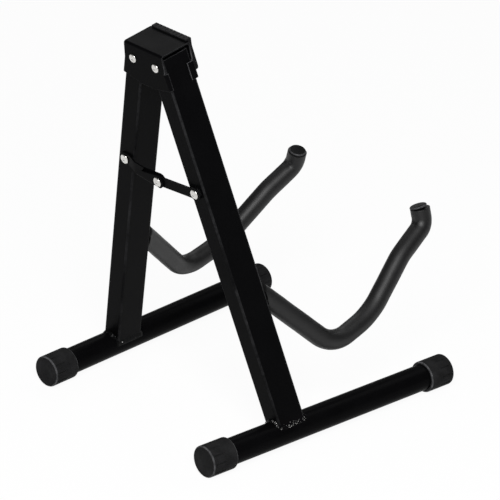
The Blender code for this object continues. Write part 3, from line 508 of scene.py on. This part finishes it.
def foot_weld(name):
    """Rippled bead round the leg's foot, in the corner against the base tube."""
    bm = bmesh.new()
    rounded_bar_ring(bm, LEG_WIDTH, LEG_DEPTH, LEG_CORNER, 70)
    rows = [bm.verts[:]]
    edges = bm.edges[:]
    for _ in WELD_SECTION[1:]:
        step = bmesh.ops.extrude_edge_only(bm, edges=edges)
        edges = [item for item in step["geom"] if isinstance(item, bmesh.types.BMEdge)
                 and len(item.link_faces) == 1]
        rows.append([item for item in step["geom"] if isinstance(item, bmesh.types.BMVert)])
    for row, (reach, height) in zip(rows, WELD_SECTION):
        for vert in row:
            x, y = vert.co.x, vert.co.y
            around = math.atan2(y / LEG_DEPTH, x / LEG_WIDTH)
            ripple = math.sin(WELD_RIPPLES * around + 1.1 * math.sin(4 * around))
            lump = Vector((x, y, 0.0)) * 260.0 + Vector((0.0, 0.0, 2.0 * SIDES[name] + 0.5 * height))
            swell = (1.0 + 0.75 * noise.noise(lump) + 0.1 * ripple) if reach > 0 else 1.0
            out = Vector((x / LEG_WIDTH, y / LEG_DEPTH, 0.0)).normalized() * reach * swell * MM
            x = max(-WELD_HALF_WIDTH, min(WELD_HALF_WIDTH, x + out.x))
            y += out.y
            vert.co = (x, y, saddle_height(x, y, TUBE_RADIUS) + max(height, height * swell) * MM)
    bmesh.ops.recalc_face_normals(bm, faces=bm.faces[:])
    ends = [edge for edge in bm.edges if len(edge.link_faces) == 1]
    bmesh.ops.bridge_loops(bm, edges=ends)
    close_up(bm)
    return show(f"{name}_weld_bead", bm, LEG_PLACES[name], f"{name}_leg", f"{name}_weld",
                [f"{name}_foot_weld"], 80.0)


def base_tube(name):
    """Round tube from cap to cap."""
    bm = bmesh.new()
    bmesh.ops.create_circle(bm, segments=72, radius=TUBE_RADIUS)
    bmesh.ops.rotate(bm, matrix=Matrix.Rotation(math.pi / 2, 3, "X"), verts=bm.verts[:])
    bmesh.ops.translate(bm, vec=(0.0, -FRONT_REACH + TUBE_INSET, 0.0), verts=bm.verts[:])
    run = bmesh.ops.extrude_edge_only(bm, edges=bm.edges[:])
    far = [item for item in run["geom"] if isinstance(item, bmesh.types.BMVert)]
    bmesh.ops.translate(bm, vec=(0.0, FRONT_REACH + BACK_REACH - 2 * TUBE_INSET, 0.0), verts=far)
    bmesh.ops.recalc_face_normals(bm, faces=bm.faces[:])
    bmesh.ops.solidify(bm, geom=bm.faces[:], thickness=TUBE_WALL)
    bmesh.ops.recalc_face_normals(bm, faces=bm.faces[:])
    return show(f"{name}_floor_tube", bm, foot_place(name), f"{name}_leg", "steel", [f"{name}_base_tube"])


def end_cap(name, end):
    """Rubber cup: plain end disc, grooved outer half, smooth collar and rolled mouth."""
    corners = [(0.0, 0.0, 0.0), (CAP_RADIUS, 0.0, 1.4 * MM)]
    for i in range(1, 26):
        corners.append((CAP_RADIUS, -(1.9 + 0.54 * i) * MM, 0.0))
    corners += [(CAP_RADIUS, -CAP_LENGTH, 1.3 * MM), (CAP_BORE, -CAP_LENGTH, 0.5 * MM),
                (CAP_BORE, -CAP_END_WALL, 0.0), (0.0, -CAP_END_WALL, 0.0)]
    bm = turned(corners, CAP_GROOVES * 24)
    mark_edges(bm)
    pitch = 2 * math.pi / CAP_GROOVES
    for vert in bm.verts:
        reach = math.hypot(vert.co.x, vert.co.z)
        if reach < CAP_RADIUS - 0.3 * MM:
            continue
        angle = math.atan2(vert.co.z, vert.co.x) - math.pi / 2
        off = abs((angle / pitch) % 1.0 - 0.5) * pitch * CAP_RADIUS
        across = 0.5 + 0.5 * math.cos(math.pi * min(1.0, off / GROOVE_HALF_WIDTH))
        along = -vert.co.y
        starts = min(1.0, max(0.0, (along - GROOVE_START) / GROOVE_FADE))
        ends = min(1.0, max(0.0, (GROOVE_END - along) / GROOVE_FADE))
        sunk = 1.0 - GROOVE_DEPTH * across * starts * ends / reach
        vert.co.x *= sunk
        vert.co.z *= sunk
    place = foot_place(name)
    if end == "back":
        place = place @ Matrix.Translation((0.0, BACK_REACH, 0.0))
    else:
        place = place @ Matrix.Translation((0.0, -FRONT_REACH, 0.0)) @ Matrix.Rotation(math.pi, 4, "Z")
    return show(f"{name}_{end}_foot_cap", bm, place, f"{name}_leg", "cap", [f"{name}_{end}_cap"], 50.0)


# Arms

def bent_run(radius, segments, step):
    """Skin of a bar of this radius along the arm, as rings from root to tip."""
    bm = bmesh.new()
    bmesh.ops.create_circle(bm, segments=segments, radius=radius)
    angle = math.radians(ARM_ROOT_ANGLE)
    bmesh.ops.rotate(bm, matrix=Matrix.Rotation(math.pi / 2 - angle, 3, "X"), verts=bm.verts[:])
    spot = Vector((0.0, -LEG_DEPTH / 2, -ARM_ROOT_DROP))
    bmesh.ops.translate(bm, vec=spot, verts=bm.verts[:])
    ring = bm.verts[:] + bm.edges[:]

    def sweep(centre, turn, shift, steps):
        nonlocal ring
        swept = bmesh.ops.spin(bm, geom=ring, cent=centre, axis=(1.0, 0.0, 0.0), dvec=shift, angle=turn,
                               steps=steps)
        ring = [item for item in swept["geom_last"] if not isinstance(item, bmesh.types.BMFace)]

    run = ARM_FIRST_RUN
    for turn_degrees, bend, next_run in ARM_BENDS:
        turn = math.radians(turn_degrees)
        tangent = bend * math.tan(abs(turn) / 2)
        ahead = Vector((0.0, -math.cos(angle), math.sin(angle)))
        inward = Vector((0.0, math.sin(angle), math.cos(angle))) * math.copysign(1.0, turn)
        length = run - tangent
        steps = max(1, round(length / step))
        sweep(spot, 0.0, ahead * length / steps, steps)
        spot = spot + ahead * length
        centre = spot + inward * bend
        steps = max(4, round(abs(turn) * (bend + radius) / step))
        sweep(centre, -turn, (0.0, 0.0, 0.0), steps)
        spot = centre + Matrix.Rotation(-turn, 3, "X") @ (spot - centre)
        angle += turn
        run = next_run - tangent
    ahead = Vector((0.0, -math.cos(angle), math.sin(angle)))
    steps = max(1, round(run / step))
    sweep(spot, 0.0, ahead * run / steps, steps)
    return bm, spot + ahead * run, angle


def cut_at_leg(bm, plane_y):
    """Trim a bar square to the leg's face."""
    bmesh.ops.bisect_plane(bm, geom=bm.verts[:] + bm.edges[:] + bm.faces[:], dist=1e-7,
                           plane_co=(0.0, plane_y, 0.0), plane_no=(0.0, 1.0, 0.0), clear_outer=True)


def arm_foam(name):
    """Foam sleeve, a little uneven, with a pinch inside the tip bend and flat cut ends."""
    bm, tip, angle = bent_run(FOAM_RADIUS, 56, 1.6 * MM)
    cut_at_leg(bm, -LEG_DEPTH / 2 - FOAM_ROOT_GAP)
    ahead = Vector((0.0, -math.cos(angle), math.sin(angle)))
    bmesh.ops.bisect_plane(bm, geom=bm.verts[:] + bm.edges[:] + bm.faces[:], dist=1e-7,
                           plane_co=tip - ahead * FOAM_TIP_STEP, plane_no=ahead, clear_outer=True)
    bmesh.ops.recalc_face_normals(bm, faces=bm.faces[:])
    bm.normal_update()
    turn, bend, last_run = ARM_BENDS[-1]
    half_turn = math.radians(turn) / 2
    middle = angle - half_turn
    bend_centre = (tip - ahead * (last_run - bend * math.tan(half_turn))
                   + Vector((0.0, math.sin(angle), math.cos(angle))) * bend)
    crook = bend_centre - Vector((0.0, math.sin(middle), math.cos(middle))) * (bend - FOAM_RADIUS)
    moves = []
    for vert in bm.verts:
        seed = vert.co + Vector((0.3 * SIDES[name], 0.0, 0.0))
        lump = 0.16 * noise.noise(seed * 70.0) + 0.05 * noise.noise(seed * 330.0)
        pinch = FOAM_PINCH * math.exp(-((vert.co - crook).length / FOAM_PINCH_REACH) ** 2)
        moves.append((vert, vert.normal * ((lump - 0.14) * MM - pinch)))
    for vert, move in moves:
        vert.co += move
    bmesh.ops.solidify(bm, geom=bm.faces[:], thickness=FOAM_RADIUS - ROD_RADIUS - FOAM_BORE_GAP)
    bmesh.ops.recalc_face_normals(bm, faces=bm.faces[:])
    ease_edges(bm, 0.5 * MM, 3, 55.0)
    piece = show(f"{name}_foam_sleeve", bm, LEG_PLACES[name], f"{name}_leg", "foam",
                 [f"{name}_arm_foam"], 60.0, flat_first=False)
    return piece


def arm_rod(name):
    """Bent rod inside the sleeve, cut square at the leg's face."""
    bm, _, _ = bent_run(ROD_RADIUS, 32, 3.0 * MM)
    cut_at_leg(bm, -LEG_DEPTH / 2 - 0.05 * MM)
    bmesh.ops.holes_fill(bm, edges=[edge for edge in bm.edges if edge.is_boundary], sides=0)
    close_up(bm)
    return show(f"{name}_bent_rod", bm, LEG_PLACES[name], f"{name}_leg", "steel", [f"{name}_arm_rod"])


def arm_plug(name):
    """Domed plug in the rod's end, standing a little clear of the foam."""
    run, tip, angle = bent_run(ROD_RADIUS, 8, 20.0 * MM)
    run.free()
    low, high = PLUG_LIFT, PLUG_LIFT + PLUG_THICKNESS
    corners = [(0.0, -1.0 * MM, 0.0), (PLUG_STEM_RADIUS, -1.0 * MM, 0.0), (PLUG_STEM_RADIUS, low, 0.0),
               (PLUG_RADIUS, low, 0.25 * MM), (PLUG_RADIUS, high - 0.1 * MM, 1.2 * MM),
               (0.5 * PLUG_RADIUS, high, 0.3 * MM), (0.0, high, 0.0)]
    bm = turned(corners, 64)
    turn = Matrix.Rotation(-math.pi - angle, 4, "X")
    lift, knock, tilt = PLUG_SEATS[name]
    lean = Matrix.Rotation(tilt, 4, (-0.7, 0.7, 0.0))
    place = LEG_PLACES[name] @ Matrix.Translation(tip + Vector((knock, knock, lift))) @ lean @ turn
    return show(f"{name}_tip_plug", bm, place, f"{name}_leg", "plug", [f"{name}_arm_plug"])


# Head

def head_saddle():
    """Folded sheet over both legs, its cut edges broken."""
    bm = copy_of("head_bracket", HEAD_PLACE)
    ease_edges(bm, 0.45 * MM, 3)
    return show("folded_head", bm, HEAD_PLACE, "head", "steel", ["head_bracket"], 45.0)


def neck_pad():
    """Rubber pad: ribbed face with a ridge that laps over the head's top edge."""
    back = -HEAD_OUTER - GAP
    front = back - PAD_THICKNESS
    top = GAP + PAD_RIDGE_HEIGHT
    section = ((front, -PAD_HEIGHT, 1.4), (back, -PAD_HEIGHT, 0.5), (back, GAP, 0.0),
               (front + PAD_RIDGE_DEPTH, GAP, 0.2), (front + PAD_RIDGE_DEPTH, top, 0.6), (front, top, 1.2))
    bm = bmesh.new()
    start = -PAD_FOOT_HALF_WIDTH + 0.5 * MM
    verts = [bm.verts.new((start, y, z)) for y, z, _ in section]
    bm.faces.new(verts)
    for vert, (_, _, rounding) in zip(verts, section):
        if rounding:
            bmesh.ops.bevel(bm, geom=[vert], offset=rounding * MM, segments=4, profile=0.5,
                            affect="VERTICES", material=-1)
    tall = [edge for edge in bm.edges if edge.calc_length() > 10 * MM]
    bmesh.ops.subdivide_edges(bm, edges=tall, cuts=20)
    slices = 120
    width = 2 * abs(start)
    bmesh.ops.spin(bm, geom=bm.faces[:], cent=(0.0, 0.0, 0.0), axis=(1.0, 0.0, 0.0),
                   dvec=(width / slices, 0.0, 0.0), angle=0.0, steps=slices)
    close_up(bm)
    ease_edges(bm, 0.5 * MM, 3, 70.0)
    for vert in bm.verts:
        x, y, z = vert.co
        slope = (-z - PAD_FLARE_START) / (PAD_HEIGHT - PAD_FOOT_CORNER - PAD_FLARE_START)
        half = PAD_TOP_HALF_WIDTH + (PAD_FOOT_HALF_WIDTH - PAD_TOP_HALF_WIDTH) * min(1.0, max(0.0, slope))
        x *= half / PAD_FOOT_HALF_WIDTH
        off = abs((x / PAD_RIB_PITCH + 0.5) % 1.0 - 0.5) * PAD_RIB_PITCH
        groove = max(0.0, 1.0 - (off / PAD_GROOVE_HALF_WIDTH) ** 2)
        edge = min(1.0, max(0.0, (half - PAD_PLAIN_MARGIN - abs(x)) / MM))
        if z > GAP + 0.4 * MM:
            z -= PAD_RIDGE_GROOVE_DEPTH * groove * edge * min(1.0, (z - GAP) / PAD_RIDGE_HEIGHT)
        elif y < front + 0.3 * MM:
            y += PAD_GROOVE_DEPTH * groove * edge * min(1.0, max(0.0, (z + PAD_HEIGHT - 1.5 * MM) / MM))
        vert.co = (x, y, z)
    return show("ribbed_neck_pad", bm, HEAD_PLACE, "head", "pad", ["head_pad"], 45.0)


# Rivets and straps

def rivet(name, node, place, body, seat, tail, radius=RIVET_RADIUS):
    """Domed rivet head with a punched hollow, its shank and its set end."""
    base = seat + GAP
    top = base + RIVET_HEIGHT
    corners = [(0.0, tail - SET_HEIGHT, 0.0), (0.7 * SET_RADIUS, tail - SET_HEIGHT, 0.5 * MM),
               (SET_RADIUS, tail - 0.3 * MM, 0.3 * MM), (SET_RADIUS, tail, 0.0),
               (SHANK_RADIUS, tail, 0.0), (SHANK_RADIUS, base, 0.0), (radius, base, 0.1 * MM),
               (radius, base + 0.25 * RIVET_HEIGHT, 0.2 * MM)]
    for share in (0.9, 0.78, 0.66, 0.54, 0.42):
        rise = 0.3 + 0.7 * math.sqrt(1.0 - share * share)
        corners.append((share * radius, base + rise * RIVET_HEIGHT, 0.0))
    corners += [(0.32 * radius, top, 0.25 * MM), (0.2 * radius, top - RIVET_HOLLOW, 0.2 * MM),
                (0.0, top - RIVET_HOLLOW, 0.0)]
    bm = turned(corners, 48)
    return show(name, bm, place, body, "rivet", [node])


def sheet_piece(name, node, place, body, edge):
    """A flat or folded piece of the link, its cut edges broken."""
    bm = copy_of(node, place)
    ease_edges(bm, edge, 3)
    return show(name, bm, place, body, "steel", [node], 45.0)


# Room, light and camera

def room():
    """Pale floor that shows white to the eye and keeps a soft shadow, under a dim even room."""
    finish = Finish("pale_floor")
    rays = finish.node("ShaderNodeLightPath", {})
    seen = Value(finish, rays.outputs["Is Camera Ray"]) + Value(finish, rays.outputs["Is Glossy Ray"])
    white = finish.node("ShaderNodeEmission", {"Color": (1.0, 1.0, 1.0, 1.0), "Strength": 1.0})
    paint = finish.node("ShaderNodeBsdfDiffuse", {"Color": (0.75, 0.75, 0.75, 1.0)})
    shaders = {0: seen * FLOOR_SHOWN_WHITE, 1: paint.outputs[0], 2: white.outputs[0]}
    mixed = finish.node("ShaderNodeMixShader", shaders)
    finish.node("ShaderNodeOutputMaterial", {"Surface": mixed.outputs[0]})
    bm = bmesh.new()
    bmesh.ops.create_grid(bm, x_segments=1, y_segments=1, size=40.0)
    bmesh.ops.translate(bm, vec=(0.0, 0.0, -0.2 * MM), verts=bm.verts[:])
    mesh = bpy.data.meshes.new("floor")
    bm.to_mesh(mesh)
    bm.free()
    mesh.materials.append(finish.material)
    floor = bpy.data.objects.new("floor", mesh)
    bpy.context.scene.collection.objects.link(floor)

    world = bpy.data.worlds.new("soft_room")
    bpy.context.scene.world = world
    world.use_nodes = True
    tree = world.node_tree
    tree.nodes.clear()
    background = tree.nodes.new("ShaderNodeBackground")
    background.inputs["Color"].default_value = (1.0, 1.0, 1.0, 1.0)
    background.inputs["Strength"].default_value = ROOM_LEVEL
    output = tree.nodes.new("ShaderNodeOutputWorld")
    tree.links.new(background.outputs[0], output.inputs["Surface"])


def lamps():
    """Round soft lamps aimed at the middle of the stand."""
    for name, (spot, size, power) in LAMPS.items():
        light = bpy.data.lights.new(name, "AREA")
        light.shape = "DISK"
        light.size = size
        light.energy = power
        item = bpy.data.objects.new(name, light)
        item.location = spot
        item.rotation_mode = "QUATERNION"
        item.rotation_quaternion = (LAMP_AIM - Vector(spot)).to_track_quat("-Z", "Y")
        bpy.context.scene.collection.objects.link(item)


def camera():
    """Long lens behind the stand and off its right side, above it and slightly rolled."""
    ahead = CAMERA_VIEW.normalized()
    level = ahead.cross(Vector((0.0, 0.0, 1.0))).normalized()
    up = level.cross(ahead)
    right = level * math.cos(CAMERA_ROLL) + up * math.sin(CAMERA_ROLL)
    up = up * math.cos(CAMERA_ROLL) - level * math.sin(CAMERA_ROLL)
    data = bpy.data.cameras.new("photo_view")
    data.sensor_width = SENSOR_WIDTH
    data.lens = SENSOR_WIDTH * FOCAL_PIXELS / PICTURE_PIXELS
    item = bpy.data.objects.new("photo_view", data)
    turn = Matrix((right, up, -ahead)).transposed()
    item.matrix_world = Matrix.Translation(CAMERA_SPOT) @ turn.to_4x4()
    bpy.context.scene.collection.objects.link(item)
    bpy.context.scene.camera = item


def build():
    """Make every piece of the stand."""
    head_saddle()
    neck_pad()
    for name in SIDES:
        leg_tube(name)
        foot_weld(name)
        base_tube(name)
        end_cap(name, "back")
        end_cap(name, "front")
        arm_foam(name)
        arm_rod(name)
        arm_plug(name)
        place = Matrix.Translation(pivots[f"{name}_leg_fold"]) @ UPRIGHT
        rivet(f"{name}_head_pivot", f"{name}_head_rivet", place, "head", HEAD_OUTER, -HEAD_OUTER - GAP,
              HEAD_RIVET_RADIUS)
    sheet_piece("channel_link_strap", "channel_strap", CHANNEL_PLACE, "channel_link", 0.3 * MM)
    sheet_piece("flat_link_strap", "flat_strap", FLAT_PLACE, "flat_link", 0.3 * MM)
    sheet_piece("link_washer", "link_spacer", FLAT_PLACE, "flat_link", 0.2 * MM)
    rivet("left_link_pivot", "left_link_rivet", CHANNEL_PLACE, "left_leg", WEB_INNER, -TUBE_WALL - GAP)
    rivet("middle_link_pivot", "middle_link_rivet", FLAT_PLACE, "channel_link", LIP_OUTER, EYE_LAYER - GAP)
    right_end = FLAT_PLACE @ Matrix.Translation((-LINK_LENGTH, 0.0, 0.0))
    rivet("right_link_pivot", "right_link_rivet", right_end, "flat_link", FLAT_LAYER + SHEET, GAP)


bpy.context.scene.view_settings.view_transform = "Standard"
build()
room()
lamps()
camera()
